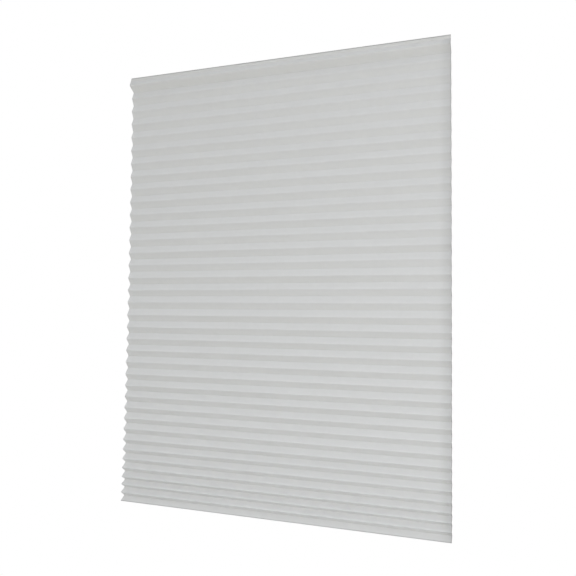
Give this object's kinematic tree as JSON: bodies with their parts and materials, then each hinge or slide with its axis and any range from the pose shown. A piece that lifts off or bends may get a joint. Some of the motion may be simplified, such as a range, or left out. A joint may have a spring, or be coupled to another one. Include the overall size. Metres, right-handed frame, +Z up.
{
  "type": "pleated blind",
  "caption": "Pleated window blind: a folded sheet of off-white non-woven cloth, hung by an adhesive strip along its top facet, with no rails, cords or clips.",
  "frame": {"origin": "middle of the adhesive strip's sticking face", "axes": "+Z up, the room side towards -Y, +X level along the pleats"},
  "size_m": [1, 0.0334, 1.3432],
  "materials": {
    "cloth": "matte non-woven",
    "tape": "satin"
  },
  "bodies": {
    "root": {"pleated_sheet": "cloth", "adhesive_strip": "tape"}
  },
  "joints": []
}
